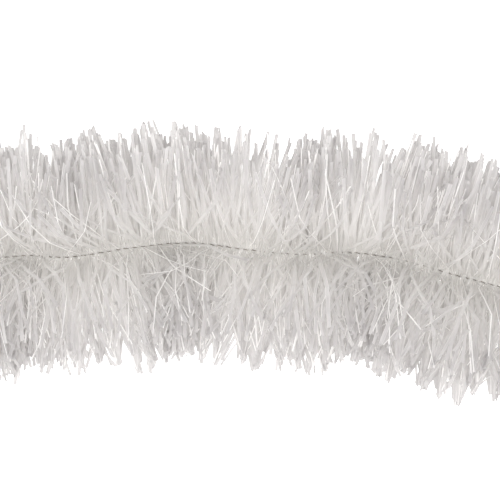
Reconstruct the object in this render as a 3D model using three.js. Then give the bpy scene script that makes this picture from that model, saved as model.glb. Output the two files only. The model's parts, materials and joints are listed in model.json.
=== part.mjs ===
// A film-fringe boa: a long soft roll of slit film strips, caught in a twisted pair of thin wires.
// It lies on a table as a loose open ring. Its fringe is stood for by tufts, soft discs with
// a notched rim, and its flexible core by short lengths that bend against each other.
// Millimetres, +Z up. The origin is on the table, under the core at the middle of the boa.

import * as THREE from 'three';

// ---- Driving dimensions ----

const BOA_LENGTH = 1800; // along the core, from end to end
const FRINGE_RADIUS = 59; // from the core to the cut ends of the strips, at the sides
const FRINGE_RISE = 42; // from the core up to the top of the fringe, which sinks under its weight
const CORE_HEIGHT = 37; // from the table up to the middle of the core
const CORE_DIAMETER = 1.3; // of the twisted pair of wires
const TUFT_THICKNESS = 13.5; // of one tuft, along the core
const CORE_CLEARANCE = 0.9; // between the core and the eye of a tuft, which leaves it room to curve

const LENGTHS_PER_ARM = 6; // flexible core lengths on each side of the middle one
const TUFTS_PER_LENGTH = 3;
const CORE_SIDES = 8;
const CORE_STEPS = 6; // along one core length
const BEND_GAP = 0.6; // between two core lengths, so that they can bend against each other

const RIM_LOBES = 12; // bundles of strips round a tuft
const LOBE_SHARE = 0.8; // of the rim that the bundles take, the rest is notches
const NOTCH_RADIUS = 22; // from the core to the bottom of a notch

const END_FOLD_RADIUS = 2; // of the hairpin that turns the wires back at each end
const END_FOLD_TAIL = 11; // how far the turned-back wires run
const END_FOLD_STEPS = 18;
const HAIRPIN_PARTS = 4; // of its half turn, between the points that guide it
const PIECE_GAP = 0.3; // between pieces that meet

// ---- Finishes ----

const FILM_COLOUR = 0xdcd9d6;
const WIRE_COLOUR = 0x4a4a3e;

// ---- Where the core lies ----

// The route on the table, from the left end to the right end, for a boa of ROUTE_LENGTH.
const ROUTE_LENGTH = 1800;
const ROUTE = [
  [-236, -655],
  [-279, -598],
  [-314, -536],
  [-341, -469],
  [-358, -398],
  [-364, -326],
  [-358, -254],
  [-338, -184],
  [-305, -118],
  [-256, -62],
  [-194, -21],
  [-125, -4],
  [-90, -3.5],
  [-60, 1],
  [-30, 3.5],
  [0, 0],
  [25, -2.2],
  [50, -1.2],
  [75, -4.8],
  [100, -11.8],
  [125, -18.5],
  [192, -38],
  [256, -72],
  [311, -121],
  [350, -183],
  [368, -254],
  [367, -326],
  [352, -397],
  [330, -466],
  [306, -534],
  [284, -603],
  [264, -672],
];
const MIDDLE_POINT = 15; // the route's point over the origin
const FINENESS = 100; // divisions between two route points when the route is measured

const UP = new THREE.Vector3(0, 0, 1);
const routeScale = BOA_LENGTH / ROUTE_LENGTH;
const routePoints = ROUTE.map(
  ([x, y]) => new THREE.Vector3(x * routeScale, y * routeScale, CORE_HEIGHT),
);
const core = new THREE.CatmullRomCurve3(routePoints, false, 'catmullrom', 0.5);
core.arcLengthDivisions = (ROUTE.length - 1) * FINENESS;
const measured = core.getLengths();
const wholeRoute = measured[measured.length - 1];
const middleStation = measured[MIDDLE_POINT * FINENESS];

// The point on the core that lies a given length from the middle, to the right if positive,
// with the core's direction there and the sideways direction to its left.
function place(station) {
  const share = (middleStation + station) / wholeRoute;
  const along = core.getTangentAt(share);
  const side = new THREE.Vector3().crossVectors(UP, along);
  return { point: core.getPointAt(share), along, side };
}

// ---- Fringe tufts ----

const coreRadius = CORE_DIAMETER / 2;
const eyeRadius = (coreRadius + CORE_CLEARANCE) / Math.cos(Math.PI / CORE_SIDES);

// A point of a tuft's rim. The fringe is round below the core until it meets the table,
// and it sinks to a flatter arch above the core.
function rimPoint(angle) {
  const across = Math.cos(angle);
  const up = Math.sin(angle);
  let reach = FRINGE_RADIUS;
  if (up > 0) {
    reach = 1 / Math.hypot(across / FRINGE_RADIUS, up / FRINGE_RISE);
  } else if (-up * FRINGE_RADIUS > CORE_HEIGHT) {
    reach = CORE_HEIGHT / -up;
  }
  return new THREE.Vector2(reach * across, CORE_HEIGHT + reach * up);
}

function ring(radius, sides, middle) {
  const points = [];
  for (let i = 0; i < sides; i += 1) {
    const angle = (2 * Math.PI * i) / sides;
    points.push(new THREE.Vector2(radius * Math.cos(angle), middle + radius * Math.sin(angle)));
  }
  return points;
}

// The section of a tuft: bundles of strips with flat cut ends, parted by notches.
function tuftSection(turn) {
  const pitch = (2 * Math.PI) / RIM_LOBES;
  const halfLobe = (pitch * LOBE_SHARE) / 2;
  const outline = [];
  for (let lobe = 0; lobe < RIM_LOBES; lobe += 1) {
    const middle = (lobe + turn) * pitch - Math.PI / 2;
    const notch = middle + pitch / 2;
    outline.push(rimPoint(middle - halfLobe));
    outline.push(rimPoint(middle + halfLobe));
    outline.push(
      new THREE.Vector2(NOTCH_RADIUS * Math.cos(notch), CORE_HEIGHT + NOTCH_RADIUS * Math.sin(notch)),
    );
  }
  const section = new THREE.Shape(outline);
  section.holes.push(new THREE.Path(ring(eyeRadius, CORE_SIDES, CORE_HEIGHT)));
  return section;
}

function fringeTuft(name, station, turn) {
  const geometry = new THREE.ExtrudeGeometry(tuftSection(turn), {
    depth: TUFT_THICKNESS,
    bevelEnabled: false,
  });
  geometry.translate(0, 0, -TUFT_THICKNESS / 2);
  const film = new THREE.MeshStandardMaterial({ color: FILM_COLOUR, roughness: 0.35, metalness: 0 });
  const tuft = new THREE.Mesh(geometry, film);
  const { point, along, side } = place(station);
  tuft.name = name;
  tuft.position.set(point.x, point.y, 0);
  tuft.quaternion.setFromRotationMatrix(new THREE.Matrix4().makeBasis(side, UP, along));
  return tuft;
}

// ---- Core wires ----

function wire(name, points, steps) {
  const geometry = new THREE.ExtrudeGeometry(new THREE.Shape(ring(coreRadius, CORE_SIDES, 0)), {
    steps,
    bevelEnabled: false,
    extrudePath: new THREE.CatmullRomCurve3(points, false, 'catmullrom', 0.5),
  });
  const steel = new THREE.MeshStandardMaterial({ color: WIRE_COLOUR, roughness: 0.45, metalness: 0.7 });
  const mesh = new THREE.Mesh(geometry, steel);
  mesh.name = name;
  return mesh;
}

// One length of the twisted pair, drawn as one plain wire as thick as the pair.
function coreLength(name, from, to) {
  const points = [];
  for (let step = 0; step <= CORE_STEPS; step += 1) {
    points.push(place(from + ((to - from) * step) / CORE_STEPS).point);
  }
  return wire(name, points, CORE_STEPS);
}

// The end of the pair, turned back on itself in a flat hairpin. outward is 1 or -1.
function endFold(name, station, outward) {
  const { point, along, side } = place(station);
  const at = (forward, across) =>
    point.clone().addScaledVector(along, forward * outward).addScaledVector(side, across);
  const points = [at(0, 0)];
  for (let i = 0; i <= HAIRPIN_PARTS; i += 1) {
    const angle = (Math.PI * i) / HAIRPIN_PARTS;
    points.push(at(END_FOLD_RADIUS * (1 + Math.sin(angle)), END_FOLD_RADIUS * (1 - Math.cos(angle))));
  }
  points.push(at(END_FOLD_RADIUS - END_FOLD_TAIL / 2, 2 * END_FOLD_RADIUS));
  points.push(at(END_FOLD_RADIUS - END_FOLD_TAIL, 2 * END_FOLD_RADIUS));
  return wire(name, points, END_FOLD_STEPS);
}

// ---- Assembly ----

const group = new THREE.Group();
const lengthCount = 2 * LENGTHS_PER_ARM + 1;
const coreSpan = BOA_LENGTH / lengthCount;
const tuftPitch = coreSpan / TUFTS_PER_LENGTH;
const twoDigits = (number) => String(number).padStart(2, '0');

for (let i = 0; i < lengthCount; i += 1) {
  const from = coreSpan * i - BOA_LENGTH / 2;
  const to = from + coreSpan;
  group.add(coreLength(`core_length_${twoDigits(i + 1)}`, from + BEND_GAP / 2, to - BEND_GAP / 2));
  for (let j = 0; j < TUFTS_PER_LENGTH; j += 1) {
    const number = i * TUFTS_PER_LENGTH + j;
    const middle = (lengthCount * TUFTS_PER_LENGTH - 1) / 2;
    const turn = Math.abs(number - middle) % 2 ? 0.5 : 0;
    group.add(fringeTuft(`fringe_tuft_${twoDigits(number + 1)}`, from + tuftPitch * (j + 0.5), turn));
  }
}

const foldStation = BOA_LENGTH / 2 - BEND_GAP / 2 + PIECE_GAP;
group.add(endFold('end_fold_left', -foldStation, -1));
group.add(endFold('end_fold_right', foldStation, 1));

export default group;
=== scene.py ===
# %% [markdown]
# # A film-fringe boa
#
# A costume boa that is made like tinsel: a long soft roll of thin white film, slit into strips, that is
# caught in a twisted pair of thin wires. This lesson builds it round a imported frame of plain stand-in
# solids. The frame says where the wire core lies, how long it is and where it bends. The looks are made here.
#
# Everything is in metres, +Z up, and the boa lies on a table at height 0.

# %% Frame and sizes
import json
import math

import bpy
import numpy as np
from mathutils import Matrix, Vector

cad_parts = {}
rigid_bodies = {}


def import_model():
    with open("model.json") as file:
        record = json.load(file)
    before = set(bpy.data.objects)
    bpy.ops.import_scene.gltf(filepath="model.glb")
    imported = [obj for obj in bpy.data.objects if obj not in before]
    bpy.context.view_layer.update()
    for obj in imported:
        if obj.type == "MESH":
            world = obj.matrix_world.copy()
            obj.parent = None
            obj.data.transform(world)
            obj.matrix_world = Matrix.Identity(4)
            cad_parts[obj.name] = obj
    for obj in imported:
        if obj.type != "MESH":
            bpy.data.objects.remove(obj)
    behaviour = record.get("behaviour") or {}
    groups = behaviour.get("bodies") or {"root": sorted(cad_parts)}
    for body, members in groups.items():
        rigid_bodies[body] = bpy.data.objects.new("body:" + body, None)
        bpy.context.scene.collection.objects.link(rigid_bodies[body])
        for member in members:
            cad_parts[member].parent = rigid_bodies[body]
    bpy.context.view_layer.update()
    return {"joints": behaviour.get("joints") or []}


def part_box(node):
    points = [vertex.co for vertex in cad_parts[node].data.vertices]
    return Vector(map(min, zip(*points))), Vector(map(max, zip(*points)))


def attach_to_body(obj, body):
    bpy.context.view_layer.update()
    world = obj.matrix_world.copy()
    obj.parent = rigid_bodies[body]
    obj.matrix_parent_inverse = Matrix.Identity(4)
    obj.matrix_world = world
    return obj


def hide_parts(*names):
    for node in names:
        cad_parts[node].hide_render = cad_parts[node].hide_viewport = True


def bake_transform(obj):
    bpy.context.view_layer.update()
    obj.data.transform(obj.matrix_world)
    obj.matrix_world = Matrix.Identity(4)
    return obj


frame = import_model()
MM = 0.001

# %% [markdown]
# ## Camera
#
# The boa is seen from straight above, so that its wire core runs across the view and its fringe
# stands out to both sides. A long lens far away keeps the strips from leaning with perspective. The
# width of the view is measured at the height of the core, where the cut ends of the strips lie too.

# %% Camera
VIEW_WIDTH = 250 * MM
CAMERA_RISE = 1.6
core_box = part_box("core_length_07")
CORE_HEIGHT = (core_box[0][2] + core_box[1][2]) / 2

camera_data = bpy.data.cameras.new("camera")
camera_data.lens = camera_data.sensor_width * CAMERA_RISE / VIEW_WIDTH
camera = bpy.data.objects.new("camera", camera_data)
camera.location = (0, 0, CORE_HEIGHT + CAMERA_RISE)
bpy.context.collection.objects.link(camera)
scene = bpy.context.scene
scene.camera = camera
print(f"core height {CORE_HEIGHT:.4f}, lens {camera_data.lens:.0f} mm")

# %% [markdown]
# ## Where the core lies
#
# The wire core is soft, so the boa lies in any loose curve. Its route is a list of places that the
# core passes, the same list as in the CAD source, joined by a Catmull-Rom spline. That spline needs
# only four neighbours for each stretch, so a few lines of Python repeat it exactly, and the fringe
# and the wires then follow the same line as the frame does.

# %% Route of the core
ROUTE = [
    (-236, -655),
    (-279, -598),
    (-314, -536),
    (-341, -469),
    (-358, -398),
    (-364, -326),
    (-358, -254),
    (-338, -184),
    (-305, -118),
    (-256, -62),
    (-194, -21),
    (-125, -4),
    (-90, -3.5),
    (-60, 1),
    (-30, 3.5),
    (0, 0),
    (25, -2.2),
    (50, -1.2),
    (75, -4.8),
    (100, -11.8),
    (125, -18.5),
    (192, -38),
    (256, -72),
    (311, -121),
    (350, -183),
    (368, -254),
    (367, -326),
    (352, -397),
    (330, -466),
    (306, -534),
    (284, -603),
    (264, -672),
]
ROUTE_STEPS = 30


def spline(places, steps):
    """Points along a Catmull-Rom spline through the places."""
    first = 2 * places[0] - places[1]
    last = 2 * places[-1] - places[-2]
    around = np.array([first, *places, last])
    share = np.arange(steps)[:, None] / steps
    found = []
    for p0, p1, p2, p3 in zip(around, around[1:], around[2:], around[3:]):
        bend = 2 * p0 - 5 * p1 + 4 * p2 - p3
        twist = 3 * (p1 - p2) + p3 - p0
        found.append(0.5 * (2 * p1 + (p2 - p0) * share + bend * share**2 + twist * share**3))
    return np.vstack([*found, places[-1]])


places = np.array(ROUTE, float) * MM
flat = spline(places, ROUTE_STEPS)
route = np.column_stack([flat, np.full(len(flat), CORE_HEIGHT)])
travelled = np.concatenate([[0], np.cumsum(np.linalg.norm(np.diff(route, axis=0), axis=1))])
MIDDLE = travelled[ROUTE.index((0, 0)) * ROUTE_STEPS]


def on_core(station):
    """The place and direction of the core at a length from the middle, positive to the right."""
    at = [np.interp(MIDDLE + station, travelled, axis) for axis in route.T]
    ahead = [np.interp(MIDDLE + station + MM, travelled, axis) for axis in route.T]
    return Vector(at), (Vector(ahead) - Vector(at)).normalized()


def station_of(place):
    """The length along the core, from the middle, at which it passes closest to a place."""
    gaps = np.linalg.norm(route - np.array(place), axis=1)
    near = float(travelled[gaps.argmin()] - MIDDLE)
    point, along = on_core(near)
    return near + (Vector(place) - point).dot(along)


joints = {joint["name"]: joint for joint in frame["joints"]}
hinge_stations = {name: station_of(joint["pos_m"]) for name, joint in joints.items()}
print("hinges at", {name: round(station, 3) for name, station in hinge_stations.items()})

# %% [markdown]
# ## Sums that make nodes
#
# Both the shapes and the finishes are worked out by nodes. A node graph that is written link by link
# is hard to read, so a small class stands for a socket and turns ordinary sums into Math nodes:
# `1 - share * 2` adds two of them. A second class holds a tree and adds any other node in one call,
# with its settings first and then the values or links of its sockets.


# %% Wires and trees
class Wire:
    """An output socket that can be used in sums."""

    def __init__(self, tree, socket):
        self.tree = tree
        self.socket = socket

    def out(self, name):
        """Another output of the same node."""
        return Wire(self.tree, self.socket.node.outputs[name])

    def sum(self, operation, *terms):
        vectors = [is_vector(term) for term in terms]
        kind = "ShaderNodeVectorMath" if any(vectors) else "ShaderNodeMath"
        return self.tree.node(kind, {"operation": operation}, dict(enumerate(terms)))

    def __add__(self, other):
        return self.sum("ADD", self, other)

    def __radd__(self, other):
        return self.sum("ADD", other, self)

    def __sub__(self, other):
        return self.sum("SUBTRACT", self, other)

    def __rsub__(self, other):
        return self.sum("SUBTRACT", other, self)

    def __mul__(self, other):
        return self.sum("MULTIPLY", self, other)

    def __rmul__(self, other):
        return self.sum("MULTIPLY", other, self)

    def __truediv__(self, other):
        return self.sum("DIVIDE", self, other)

    def __pow__(self, other):
        return self.sum("POWER", self, other)

    def __lt__(self, other):
        return self.sum("LESS_THAN", self, other)

    def __gt__(self, other):
        return self.sum("GREATER_THAN", self, other)


def is_vector(term):
    """Whether a term of a sum is a vector, as a link or as three numbers."""
    if isinstance(term, Wire):
        return term.socket.type == "VECTOR"
    return isinstance(term, tuple)


class Tree:
    """A node tree that adds a node in one call."""

    def __init__(self, tree):
        self.tree = tree

    def node(self, kind, settings=None, inputs=None, out=0):
        made = self.tree.nodes.new(kind)
        for name, value in (settings or {}).items():
            setattr(made, name, value)
        for name, value in (inputs or {}).items():
            socket = made.inputs[name]
            if isinstance(value, Wire):
                self.tree.links.new(value.socket, socket)
            elif isinstance(value, list):
                for wire in value:
                    self.tree.links.new(wire.socket, socket)
            elif socket.type == "VECTOR" and not isinstance(value, (tuple, list)):
                socket.default_value = (value, value, value)
            else:
                socket.default_value = value
        return Wire(self, made.outputs[out]) if made.outputs else None

    def maths(self, operation, *terms):
        return self.node("ShaderNodeMath", {"operation": operation}, dict(enumerate(terms)))


def sine(angle):
    return angle.tree.maths("SINE", angle)


def cosine(angle):
    return angle.tree.maths("COSINE", angle)


def cross(a, b):
    return a.tree.node("ShaderNodeVectorMath", {"operation": "CROSS_PRODUCT"}, {0: a, 1: b})


def limit(value, low, high):
    """The value, kept between two numbers."""
    tree = value.tree
    return tree.maths("MINIMUM", tree.maths("MAXIMUM", value, low), high)


# %% [markdown]
# ## Shape trees and their inputs
#
# A Geometry Nodes tree is a recipe with named inputs, like a function. The helper below starts one,
# and a second one puts it on a curve as a modifier, sets its inputs and takes the plain mesh that
# comes out. The curve is the core's own line, so each recipe is worked out along the core.


# %% Recipes along the core
def start_recipe(name, inputs):
    """A Geometry Nodes tree with a geometry input, the named inputs, and a geometry output."""
    group = bpy.data.node_groups.new(name, "GeometryNodeTree")
    group.interface.new_socket("Geometry", in_out="INPUT", socket_type="NodeSocketGeometry")
    for socket_name, kind in inputs.items():
        group.interface.new_socket(socket_name, in_out="INPUT", socket_type=kind)
    group.interface.new_socket("Geometry", in_out="OUTPUT", socket_type="NodeSocketGeometry")
    tree = Tree(group)
    return tree, tree.node("NodeGroupInput")


def end_recipe(tree, geometry, material):
    """Ends a recipe with its material, and returns the tree."""
    real = tree.node("GeometryNodeRealizeInstances", None, {"Geometry": geometry})
    inputs = {"Geometry": real, "Material": material}
    finished = tree.node("GeometryNodeSetMaterial", None, inputs)
    tree.node("NodeGroupOutput", None, {0: finished})
    return tree.tree


def follow_recipe(name, group, points, values):
    """The mesh that a recipe makes along a line of points."""
    line = bpy.data.curves.new(name + "_line", "CURVE")
    line.dimensions = "3D"
    run = line.splines.new("POLY")
    run.points.add(len(points) - 1)
    run.points.foreach_set("co", np.column_stack([points, np.ones(len(points))]).ravel())
    guide = bpy.data.objects.new(name + "_line", line)
    bpy.context.collection.objects.link(guide)
    recipe = guide.modifiers.new("recipe", "NODES")
    recipe.node_group = group
    for socket in group.interface.items_tree:
        if socket.in_out == "INPUT" and socket.name in values:
            recipe[socket.identifier] = values[socket.name]
    bpy.context.view_layer.update()
    seen = guide.evaluated_get(bpy.context.evaluated_depsgraph_get())
    mesh = bpy.data.meshes.new_from_object(seen)
    mesh.name = name
    bpy.data.objects.remove(guide)
    piece = bpy.data.objects.new(name, mesh)
    bpy.context.collection.objects.link(piece)
    return piece


def core_frame(tree, given, station):
    """The place, direction, side and top of the core at a length from its middle."""
    core = tree.node(
        "GeometryNodeSampleCurve",
        {"mode": "LENGTH"},
        {"Curves": given.out("Geometry"), "Length": given.out("Middle") + station},
        "Position",
    )
    top = tree.node("ShaderNodeCombineXYZ", None, {"Z": 1.0})
    along = core.out("Tangent")
    return core, along, cross(top, along), top

# %% [markdown]
# ## Finishes
#
# The film is glossy white plastic a few hundredths of a millimetre thick. It lets a little light
# through, so a mass of it looks soft and pale, and warmer where light has crossed many strips. Each
# strip carries its own map: across the map is a tone that differs from strip to strip, and up the map
# is the share of the way from the core to the cut end.
#
# Real film has one colour all along. Here the colour carries painted light and shade instead: near
# the core it is painted paler and warmer, as painted light that lifts the shade deep between the
# strips, and towards the cut ends it turns grey, as painted shade, which gives the single strips at
# the outline the grey that they have in front of a bright table. The edges of most strips are painted
# whiter, and the strips of the highest tones nearly white, as painted glints.

# %% Film finish
FILM_MAP = "OFBake"
MAP_START = 0.02
MAP_SPAN = 0.96
# Painted light: the root of each strip is painted paler and warmer than the body, to lift the shade between
# the strips near the core.
FILM_ROOT_PAINTED_LIGHT = (0.99, 0.975, 0.945, 1)
FILM_BODY = (0.89, 0.873, 0.862, 1)
# Painted shade: the cut ends are painted grey.
FILM_TIP_PAINTED_SHADE = (0.31, 0.302, 0.315, 1)
FILM_PALE = (0.96, 0.96, 0.96, 1)
# Painted glints: the white that the edges of strips and the glint strips are painted with.
FILM_GLINT_WHITE = (1.0, 1.0, 1.0, 1)
FILM_LIT_THROUGH = (0.95, 0.935, 0.922, 1)
THROUGH_SHARE = 0.62
FILM_COVER = 0.4
END_COVER = 0.55
# More cover where glints are painted on the edges of strips.
EDGE_GLINT_COVER = 0.2
# More cover on the painted glint strips.
GLINT_COVER = 0.3
FILM_TONES = 64
# Strips above this tone are narrower and painted nearly white, as painted glints.
GLINT_TONE = 0.78


def colour_mix(tree, share, first, second):
    """A colour between two colours."""
    inputs = {"Factor": share, 6: first, 7: second}
    return tree.node("ShaderNodeMix", {"data_type": "RGBA"}, inputs, 2)


def film_finish():
    made = bpy.data.materials.new("white_film")
    made.use_nodes = True
    tree = Tree(made.node_tree)
    made.node_tree.nodes.clear()
    on_strip = tree.node("ShaderNodeUVMap", {"uv_map": FILM_MAP})
    corner = tree.node("ShaderNodeSeparateXYZ", None, {0: on_strip})
    column = corner * FILM_TONES
    tone = tree.maths("FLOOR", column) / FILM_TONES
    across = tree.maths("ABSOLUTE", tree.maths("FRACT", column) - 0.5)
    share = (corner.out("Y") - MAP_START) / MAP_SPAN
    root_light_fade = limit(share / 0.45, 0.0, 1.0)
    outer = limit((share - 0.5) / 0.5, 0.0, 1.0)
    # Painted light near the core, fading into the body colour.
    colour = colour_mix(tree, root_light_fade, FILM_ROOT_PAINTED_LIGHT, FILM_BODY)
    # Painted shade towards the cut ends.
    colour = colour_mix(tree, outer, colour, FILM_TIP_PAINTED_SHADE)
    paler = limit((tone - 0.45) * 1.6, 0.0, 1.0)
    colour = colour_mix(tree, paler * 0.35, colour, FILM_PALE)
    # Painted glints: a white line along the edges of strips of the higher tones.
    edge_glint = limit((across - 0.3) * 12, 0.0, 1.0) * limit(tone * 2 - 0.6, 0.0, 1.0)
    # Painted glints: strips above the glint tone are painted nearly white.
    glint_strip = tone > GLINT_TONE
    colour = colour_mix(tree, edge_glint * 0.5, colour, FILM_GLINT_WHITE)
    colour = colour_mix(tree, glint_strip * 0.7, colour, FILM_GLINT_WHITE)
    rough = 0.16 + tone * 0.2
    gloss = tree.node(
        "ShaderNodeBsdfPrincipled",
        None,
        {"Base Color": colour, "Roughness": rough, "IOR": 1.45},
    )
    through = tree.node("ShaderNodeBsdfTranslucent", None, {"Color": FILM_LIT_THROUGH})
    both = tree.node("ShaderNodeMixShader", None, {0: THROUGH_SHARE, 1: gloss, 2: through})
    clear = tree.node("ShaderNodeBsdfTransparent")
    cover = FILM_COVER + outer * outer * END_COVER + edge_glint * EDGE_GLINT_COVER + glint_strip * GLINT_COVER
    thin = tree.node("ShaderNodeMixShader", None, {0: cover, 1: clear, 2: both})
    tree.node("ShaderNodeOutputMaterial", None, {"Surface": thin})
    return made


film = film_finish()

# %% [markdown]
# The wire is thin dark steel, a little browned, with a fine mottle along it where it was drawn and
# twisted. It reads its mottle from the place on the piece, because the wire has no map of its own.


# %% Wire finish
STEEL_DARK = (0.10, 0.09, 0.075, 1)
STEEL_BROWN = (0.22, 0.20, 0.17, 1)


def wire_finish():
    made = bpy.data.materials.new("dark_wire")
    made.use_nodes = True
    tree = Tree(made.node_tree)
    made.node_tree.nodes.clear()
    place = tree.node("ShaderNodeTexCoord", None, None, "Object")
    mottle = tree.node("ShaderNodeTexNoise", None, {"Vector": place, "Scale": 900.0, "Detail": 3.0})
    spots = limit((mottle - 0.35) * 3, 0.0, 1.0)
    colour = colour_mix(tree, spots, STEEL_DARK, STEEL_BROWN)
    metal = tree.node(
        "ShaderNodeBsdfPrincipled",
        None,
        {"Base Color": colour, "Roughness": 0.32 + spots * 0.2, "Metallic": 0.9},
    )
    tree.node("ShaderNodeOutputMaterial", None, {"Surface": metal})
    return made


steel = wire_finish()

# %% [markdown]
# ## The film fringe
#
# On the real boa each strip of film is about 118 mm long and is caught at its middle by the twist of
# the wires, so that it sticks out on both sides. It is stiff enough to stand out, thin enough to sink
# a little, and it lies on the table where it meets it. Neighbouring strips lean together: they leave
# a short stretch of the core as a fan, and their cut ends gather into small blocks and points.
#
# One flat strip is made as a plain mesh. A recipe then puts thousands of copies on the core and bends
# each copy with sums on its vertices: its share of the way out, its lean along the core, its angle
# above or below the core, and its turn about its own length. All random values come from seeds.

# %% One flat strip of film
STRIP_RINGS = (0, 0.06, 0.25, 0.5, 0.76, 1)


def flat_strip():
    """A strip from -1 to 1 along X, half a unit to each side along Y, with a fold along its middle."""
    shares = [-x for x in STRIP_RINGS[:0:-1]] + list(STRIP_RINGS)
    corners = [(x, y, z) for x in shares for y, z in ((-0.5, 0), (0, -1), (0.5, 0))]
    faces = []
    for ring in range(len(shares) - 1):
        for side in range(3):
            here, beside = 3 * ring + side, 3 * ring + (side + 1) % 3
            faces.append((here, beside, beside + 3, here + 3))
    last = len(corners) - 3
    faces += [(2, 1, 0), (last, last + 1, last + 2)]
    mesh = bpy.data.meshes.new("flat_strip")
    mesh.from_pydata(corners, [], faces)
    made = bpy.data.objects.new("flat_strip", mesh)
    bpy.context.collection.objects.link(made)
    return made


strip = flat_strip()
print("one strip has", len(strip.data.polygons), "faces")

# %% [markdown]
# The recipe for the fringe. The two sides of the boa differ a little, as they do on a curved boa: on
# the outside of the curve the cut ends stand side by side like a comb, and on the inside they meet in
# points. Both come from the same pull towards the middle of a cell, which is stronger on the inside.
# At the boa's two ends each strip may pass the end of the core by an overhang of its own.

# %% Recipe for the fringe
FRINGE_INPUTS = {
    "Strip": "NodeSocketObject",
    "First": "NodeSocketInt",
    "Strips": "NodeSocketInt",
    "Spacing": "NodeSocketFloat",
    "Middle": "NodeSocketFloat",
    "Reach": "NodeSocketFloat",
    "Width": "NodeSocketFloat",
    "Fold": "NodeSocketFloat",
    "Rise": "NodeSocketFloat",
    "Sink": "NodeSocketFloat",
    "Seed": "NodeSocketInt",
    "Film": "NodeSocketMaterial",
}
CORE_END = 900 * MM
LEAST_OVERHANG = 2 * MM
MOST_OVERHANG = 22 * MM
FAN_LENGTH = 42 * MM
FAN_LEAN = 19 * MM
JITTER = 17 * MM
CURL = 8 * MM
BOW = 5 * MM
S_BEND = 2.5 * MM
CELL_LENGTH = 5.5 * MM
INSIDE_CELL_EXTRA = 3 * MM
STRAY_SHARE = 0.11
STRAY_LEAN = 32 * MM
ROOT_HUMP = 0.65 * MM
OVER_SHARE = 0.08
OVER_LIFT = 1.2 * MM
OVER_ASIDE = 5 * MM
END_SLANT = 1.2 * MM
WIRE_PITCH = 8.6 * MM


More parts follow.
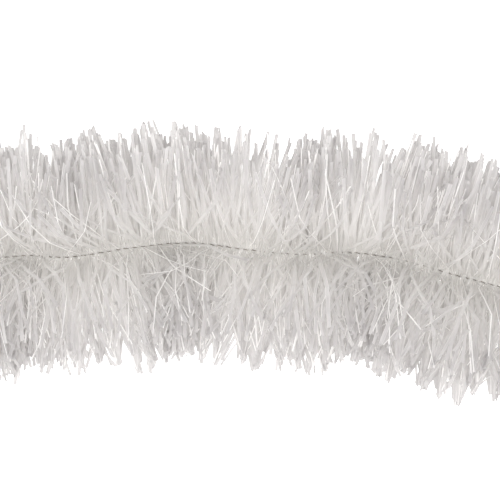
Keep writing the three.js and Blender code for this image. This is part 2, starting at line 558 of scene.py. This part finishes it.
def fringe_recipe():
    tree, given = start_recipe("film_fringe", FRINGE_INPUTS)

    def chance(low, high, salt, number):
        """A random value from low to high, the same wherever the number is the same."""
        made = tree.tree.nodes.new("FunctionNodeRandomValue")
        made.data_type = "FLOAT"
        sockets = {socket.name: socket for socket in made.inputs if socket.enabled}
        sockets["Min"].default_value, sockets["Max"].default_value = low, high
        tree.tree.links.new(number.socket, sockets["ID"])
        tree.tree.links.new((given.out("Seed") * 100 + salt).socket, sockets["Seed"])
        return Wire(tree, next(socket for socket in made.outputs if socket.enabled))

    def drift(along, spread):
        """A smooth random value from about -1 to 1 that changes over a length."""
        inputs = {"W": along, "Scale": 1 / spread, "Detail": 1.0}
        noise = tree.node("ShaderNodeTexNoise", {"noise_dimensions": "1D"}, inputs)
        return (noise - 0.5) * 3.2

    # copies of the strip, each with its number
    points = tree.node("GeometryNodePoints", None, {"Count": given.out("Strips")})
    numbered = tree.node(
        "GeometryNodeStoreNamedAttribute",
        {"data_type": "INT", "domain": "POINT"},
        {"Geometry": points, "Name": "strip", "Value": tree.node("GeometryNodeInputIndex")},
    )
    flat = tree.node("GeometryNodeObjectInfo", None, {"Object": given.out("Strip")}, "Geometry")
    copies = tree.node("GeometryNodeInstanceOnPoints", None, {"Points": numbered, "Instance": flat})
    strips = tree.node("GeometryNodeRealizeInstances", None, {"Geometry": copies})

    kept = tree.node("GeometryNodeInputNamedAttribute", {"data_type": "INT"}, {"Name": "strip"})
    strip_number = given.out("First") + kept
    corner = tree.node("ShaderNodeSeparateXYZ", None, {0: tree.node("GeometryNodeInputPosition")})
    share = tree.maths("ABSOLUTE", corner)
    inside = corner < -0.001
    side = 1 - inside * 2
    half = strip_number * 2 + inside

    # where the strip leaves the core
    station = (strip_number + chance(0.0, 1.0, 1, strip_number)) * given.out("Spacing")
    core, along, sideways, top = core_frame(tree, given, station)

    # lean along the core: fans, strays and the pull of each cell
    stray = chance(0.0, 1.0, 2, half) < STRAY_SHARE
    fan = drift(station + inside * 3.1, FAN_LENGTH) * FAN_LEAN * (1 - inside * 0.5)
    looseness = 0.45 + inside * 0.55
    jitter = chance(-1.0, 1.0, 3, half) * chance(0.0, JITTER, 4, half) * looseness
    lean = fan + jitter + stray * chance(-STRAY_LEAN, STRAY_LEAN, 5, half)
    curl = chance(-CURL, CURL, 21, half) * looseness
    cell_length = CELL_LENGTH + inside * INSIDE_CELL_EXTRA
    cell_place = (station + lean + curl) / cell_length + inside * 0.37
    cell = tree.maths("FLOOR", cell_place)
    cell_number = cell * 2 + inside
    cell_middle = cell + 0.5 + chance(-0.25, 0.25, 6, cell_number)
    pull = (cell_middle - cell_place) * cell_length * (0.5 + inside * 0.25) * (1 - stray)
    bow = chance(-BOW, BOW, 7, half) * sine(share * math.pi)
    bow = (bow + chance(-S_BEND, S_BEND, 20, half) * sine(share * math.tau)) * looseness
    shift = lean * share + (pull + curl) * share * share + bow
    core_end = CORE_END + chance(LEAST_OVERHANG, MOST_OVERHANG, 24, half) * share
    shift = limit(shift, 0 - core_end - station, core_end - station)

    # how far out the strip gets
    size = chance(0.96, 1.06, 8, half) + chance(-0.12, 0.06, 9, cell_number) - inside * 0.015
    size = size + drift(station + inside * 5.3, 110 * MM) * 0.03
    reach = given.out("Reach") * size * share
    out = tree.maths("SQRT", tree.maths("MAXIMUM", reach**2.0 - shift**2.0, (reach * 0.3) ** 2.0))

    # up or down, with the table below and the weight of the film above
    even = chance(-1.0, 1.0, 10, half)
    slope = tree.maths("SIGN", even) * tree.maths("ABSOLUTE", even) ** 1.15 * 1.05
    slope = slope + stray * (chance(0.5, 1.35, 11, half) - slope)
    slope = slope - share * cosine(slope) * chance(0.05, 0.2, 12, half)
    rise = given.out("Rise") * (chance(0.8, 1.0, 13, half) + stray * 0.15)
    sink = chance(1.1 * MM, 5 * MM, 14, half) - given.out("Sink")
    height = tree.maths("SMOOTH_MIN", out * sine(slope), rise, 12 * MM)
    height = tree.maths("SMOOTH_MAX", height, sink, 8 * MM)
    across = tree.maths("SQRT", tree.maths("MAXIMUM", out**2.0 - height**2.0, (out * 0.25) ** 2.0))
    root = share < 0.01
    over = (chance(0.0, 1.0, 22, strip_number) < OVER_SHARE) * (drift(station, 60 * MM) > 0.1)
    hump = cosine(station * (math.tau / WIRE_PITCH))
    height = height + root * (hump**6.0 * ROOT_HUMP + over * OVER_LIFT)
    across = side * across + root * over * chance(-OVER_ASIDE, OVER_ASIDE, 23, strip_number)
    place = core + along * shift + sideways * across + top * height

    # the strip's own directions: out along it, across it and through it
    outward = sideways * (side * cosine(slope)) + top * sine(slope)
    round_core = top * cosine(slope) - sideways * (side * sine(slope))
    leaning = limit((lean + pull) / given.out("Reach"), -0.85, 0.85)
    upright = tree.maths("SQRT", 1 - leaning * leaning)
    ahead = outward * upright + along * leaning
    level = along * upright - outward * leaning
    turn = chance(-0.7, 0.7, 15, half) + share * chance(-0.6, 0.6, 16, half)
    flat_way = level * cosine(turn) + round_core * sine(turn)
    thick_way = cross(ahead, flat_way) * side

    pinch = 0.3 + 0.7 * limit(share / 0.15 + over, 0.0, 1.0)
    tone = chance(0.0, 1.0, 19, half)
    # Strips above the glint tone are made narrower, to be thin painted glints.
    glint_narrowing = 1 - (tone > GLINT_TONE) * 0.65
    width = given.out("Width") * chance(0.75, 1.15, 17, half) * pinch * glint_narrowing
    y, z = corner.out("Y"), corner.out("Z")
    slant = y * (share > 0.99) * chance(-END_SLANT, END_SLANT, 18, half)
    shaped = place + flat_way * (y * width) + thick_way * (z * given.out("Fold")) + ahead * slant

    column = tree.maths("FLOOR", tone * FILM_TONES) + 0.5 + y * 0.9
    row = MAP_START + share * MAP_SPAN + z * 0.01
    on_strip = tree.node("ShaderNodeCombineXYZ", None, {"X": column / FILM_TONES, "Y": row})
    mapped = tree.node(
        "GeometryNodeStoreNamedAttribute",
        {"data_type": "FLOAT2", "domain": "CORNER"},
        {"Geometry": strips, "Name": FILM_MAP, "Value": on_strip},
    )
    moved = tree.node("GeometryNodeSetPosition", None, {"Geometry": mapped, "Position": shaped})
    cleared = tree.node("GeometryNodeRemoveAttribute", None, {"Geometry": moved, "Name": "strip"})
    return end_recipe(tree, cleared, given.out("Film"))


fringe = fringe_recipe()
print("the fringe recipe has", len(fringe.nodes), "nodes")

# %% [markdown]
# ## The twisted wires
#
# The core is two thin wires twisted round each other with the film between them. From above, each
# wire shows as a slanting dash wherever it passes over the film. A recipe winds both wires round the
# core's line with a steady pitch, so the dashes come out even.

# %% Recipe for the wire pair
WIRE_INPUTS = {
    "Steps": "NodeSocketInt",
    "From": "NodeSocketFloat",
    "To": "NodeSocketFloat",
    "Middle": "NodeSocketFloat",
    "Pitch": "NodeSocketFloat",
    "Apart": "NodeSocketFloat",
    "Radius": "NodeSocketFloat",
    "Steel": "NodeSocketMaterial",
}


def wire_recipe():
    tree, given = start_recipe("wire_pair", WIRE_INPUTS)
    line = tree.node("GeometryNodeCurvePrimitiveLine")
    steps = given.out("Steps")
    line = tree.node("GeometryNodeResampleCurve", None, {"Curve": line, "Count": steps})
    begin, end = given.out("From"), given.out("To")
    station = begin + (end - begin) * tree.node("GeometryNodeInputIndex") / (steps - 1)
    core, along, sideways, top = core_frame(tree, given, station)
    wires = []
    for start in (0, math.pi):
        angle = station / given.out("Pitch") * math.tau + start
        offset = (sideways * cosine(angle) + top * sine(angle)) * given.out("Apart")
        inputs = {"Geometry": line, "Position": core + offset}
        wires.append(tree.node("GeometryNodeSetPosition", None, inputs))
    both = tree.node("GeometryNodeJoinGeometry", None, {"Geometry": wires})
    radius = given.out("Radius")
    ring = tree.node("GeometryNodeCurvePrimitiveCircle", None, {"Resolution": 6, "Radius": radius})
    inputs = {"Curve": both, "Profile Curve": ring, "Fill Caps": True}
    round_wires = tree.node("GeometryNodeCurveToMesh", None, inputs)
    return end_recipe(tree, round_wires, given.out("Steel"))


wire_pair = wire_recipe()

# %% [markdown]
# ## Pieces along the boa
#
# The frame divides the boa into thirteen stretches that hinge on each other, and three tufts stand
# for the fringe of each stretch. The middle tuft of a stretch moves as one with it. The two tufts
# beside a hinge are made as one piece across the hinge, so that no gap opens there; that piece stays
# where it is made and rides on neither stretch. The wires are divided at the same places.

# %% Divisions
TUFTS = 39
TUFT_LENGTH = 2 * CORE_END / TUFTS
hinges = sorted(joints.values(), key=lambda joint: hinge_stations[joint["name"]])
left = [joint["child"] for joint in hinges if hinge_stations[joint["name"]] < 0]
right = [joint["child"] for joint in hinges if hinge_stations[joint["name"]] > 0]
bodies = [*left, "middle", *right]
divisions = []
for number, body in enumerate(bodies):
    first, last = 3 * number + 1, 3 * number + 2
    first -= number == 0
    last += number == len(bodies) - 1
    divisions.append((body, None, first, last))
    if number < len(hinges):
        divisions.append((body, hinges[number], 3 * number + 2, 3 * number + 4))
print([(body, joint and joint["name"], first, last) for body, joint, first, last in divisions])

# %% [markdown]
# Each division gets its strips and its wires. The strips are numbered from the middle of the boa, and
# a strip's random values come from its number, so it looks the same whichever piece it is in. A tuft
# has an odd number of strips, so some divisions start at half a strip, and that is rounded to an even
# number. At such a border one strip is left out or is made in both pieces.

# %% Fringe and wires
STRIPS_PER_TUFT = 345
STEPS_PER_TURN = 14
BLEND_REACH = 35 * MM
FRINGE_REACH = 59 * MM
FRINGE_RISE = 42 * MM
STRIP_WIDTH = 1.75 * MM
STRIP_FOLD = 0.18 * MM
FRINGE_SEED = 3
WIRE_APART = 0.28 * MM
WIRE_RADIUS = 0.24 * MM


def attach(piece, body, joint, nodes):
    """Lets a piece ride on its body, or keeps it where it is at its joint, in place of the frame's nodes."""
    if joint is None:
        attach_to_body(piece, body)
    else:
        station = hinge_stations[joint["name"]]
        start, end = on_core(station - BLEND_REACH)[0], on_core(station + BLEND_REACH)[0]
        outer = joint["child"] if joint["parent"] == body else joint["parent"]
        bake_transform(piece)
    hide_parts(*nodes)


def triangles(piece):
    return sum(len(face.vertices) - 2 for face in piece.data.polygons)


def fringe_piece(name, first, last):
    values = {
        "Strip": strip,
        "First": round((first - TUFTS / 2) * STRIPS_PER_TUFT),
        "Strips": (last - first) * STRIPS_PER_TUFT,
        "Spacing": TUFT_LENGTH / STRIPS_PER_TUFT,
        "Middle": float(MIDDLE),
        "Reach": FRINGE_REACH,
        "Width": STRIP_WIDTH,
        "Fold": STRIP_FOLD,
        "Rise": FRINGE_RISE,
        "Sink": CORE_HEIGHT,
        "Seed": FRINGE_SEED,
        "Film": film,
    }
    return follow_recipe(name, fringe, route, values)


def wire_piece(name, points, begin, end, middle):
    values = {
        "Steps": round((end - begin) / WIRE_PITCH * STEPS_PER_TURN) + 1,
        "From": begin,
        "To": end,
        "Middle": middle,
        "Pitch": WIRE_PITCH,
        "Apart": WIRE_APART,
        "Radius": WIRE_RADIUS,
        "Steel": steel,
    }
    piece = follow_recipe(name, wire_pair, points, values)
    piece.data.shade_smooth()
    return piece


for body, joint, first, last in divisions:
    name = body if joint is None else "at_" + joint["name"]
    tufts = [f"fringe_tuft_{tuft + 1:02d}" for tuft in range(first, last)]
    attach(fringe_piece("fringe_" + name, first, last), body, joint, tufts)
    begin, end = (first - TUFTS / 2) * TUFT_LENGTH, (last - TUFTS / 2) * TUFT_LENGTH
    lengths = sorted({f"core_length_{tuft // 3 + 1:02d}" for tuft in range(first, last)})
    wires = wire_piece("wires_" + name, route, begin, end, float(MIDDLE))
    attach(wires, body, joint, lengths)
bpy.data.objects.remove(strip)
shown = [piece for piece in bpy.data.objects if piece.type == "MESH" and not piece.hide_render]
print("triangles", sum(triangles(piece) for piece in shown))

# %% [markdown]
# ## The turned-back ends
#
# At each end of the boa the two wires are bent back on themselves beside the core, so that no sharp
# end sticks out and the twist can't come undone. The same wire recipe follows a hairpin line.

# %% End folds
FOLD_RADIUS = 2 * MM
FOLD_TAIL = 11 * MM
FOLD_PARTS = 16


def hairpin(outward):
    """Points on the line of a turned-back end, starting at the end of the core."""
    end, along = on_core(outward * (CORE_END - MM))
    end, forward = end + along * outward * MM, along * outward
    across = Vector((0, 0, 1)).cross(along)
    shape = [(0, 0)]
    for part in range(FOLD_PARTS + 1):
        angle = math.pi * part / FOLD_PARTS
        shape.append((FOLD_RADIUS * (1 + math.sin(angle)), FOLD_RADIUS * (1 - math.cos(angle))))
    shape.append((FOLD_RADIUS - FOLD_TAIL, 2 * FOLD_RADIUS))
    return np.array([end + forward * ahead + across * aside for ahead, aside in shape])


for side_name, outward in (("left", -1), ("right", 1)):
    points = hairpin(outward)
    long = float(np.linalg.norm(np.diff(points, axis=0), axis=1).sum())
    name = f"end_fold_{side_name}_wires"
    fold = wire_piece(name, points, CORE_END, CORE_END + long, -CORE_END)
    attach(fold, f"{side_name}_6", None, [f"end_fold_{side_name}"])
    print(name, round(long, 4), "m long")

# %% [markdown]
# ## Table and light
#
# A plain pale table and even light from all round show the film without hard shadows. The table glows
# a little, so that it stays white between the strips. Three soft lamps give the film some shine.

# %% Table and light
TABLE_REACH = 30
TABLE_GLOW = 0.7
TABLE_CORNERS = [(-1, -1), (1, -1), (1, 1), (-1, 1)]
LAMPS = (
    ("key_lamp", (-0.25, -0.15, 1.9), 0.5, 17),
    ("fill_lamp", (0.9, -0.9, 1.4), 0.5, 7),
    ("side_lamp", (-1.2, -0.5, 1.0), 0.4, 4),
)

table_mesh = bpy.data.meshes.new("table")
corners = [(x * TABLE_REACH, y * TABLE_REACH, 0) for x, y in TABLE_CORNERS]
table_mesh.from_pydata(corners, [], [(0, 1, 2, 3)])
table = bpy.data.objects.new("table", table_mesh)
bpy.context.collection.objects.link(table)

pale = bpy.data.materials.new("pale_table")
pale.use_nodes = True
tree = Tree(pale.node_tree)
pale.node_tree.nodes.clear()
place = tree.node("ShaderNodeTexCoord", None, None, "Object")
grain = tree.node("ShaderNodeTexNoise", None, {"Vector": place, "Scale": 40.0, "Detail": 2.0})
colour = colour_mix(tree, grain, (0.86, 0.86, 0.86, 1), (0.9, 0.9, 0.9, 1))
surface = tree.node(
    "ShaderNodeBsdfPrincipled",
    None,
    {
        "Base Color": colour,
        "Roughness": 0.7,
        "Emission Color": (1, 1, 1, 1),
        "Emission Strength": TABLE_GLOW,
    },
)
tree.node("ShaderNodeOutputMaterial", None, {"Surface": surface})
table_mesh.materials.append(pale)

world = bpy.data.worlds.new("studio")
world.use_nodes = True
world.node_tree.nodes["Background"].inputs["Color"].default_value = (1, 1, 1, 1)
world.node_tree.nodes["Background"].inputs["Strength"].default_value = 1.0
scene.world = world
for name, place, size, power in LAMPS:
    lamp_data = bpy.data.lights.new(name, "AREA")
    lamp_data.size = size
    lamp_data.energy = power
    lamp = bpy.data.objects.new(name, lamp_data)
    lamp.location = place
    lamp.rotation_euler = (-Vector(place)).to_track_quat("-Z", "Y").to_euler()
    bpy.context.collection.objects.link(lamp)
scene.view_settings.view_transform = "Standard"
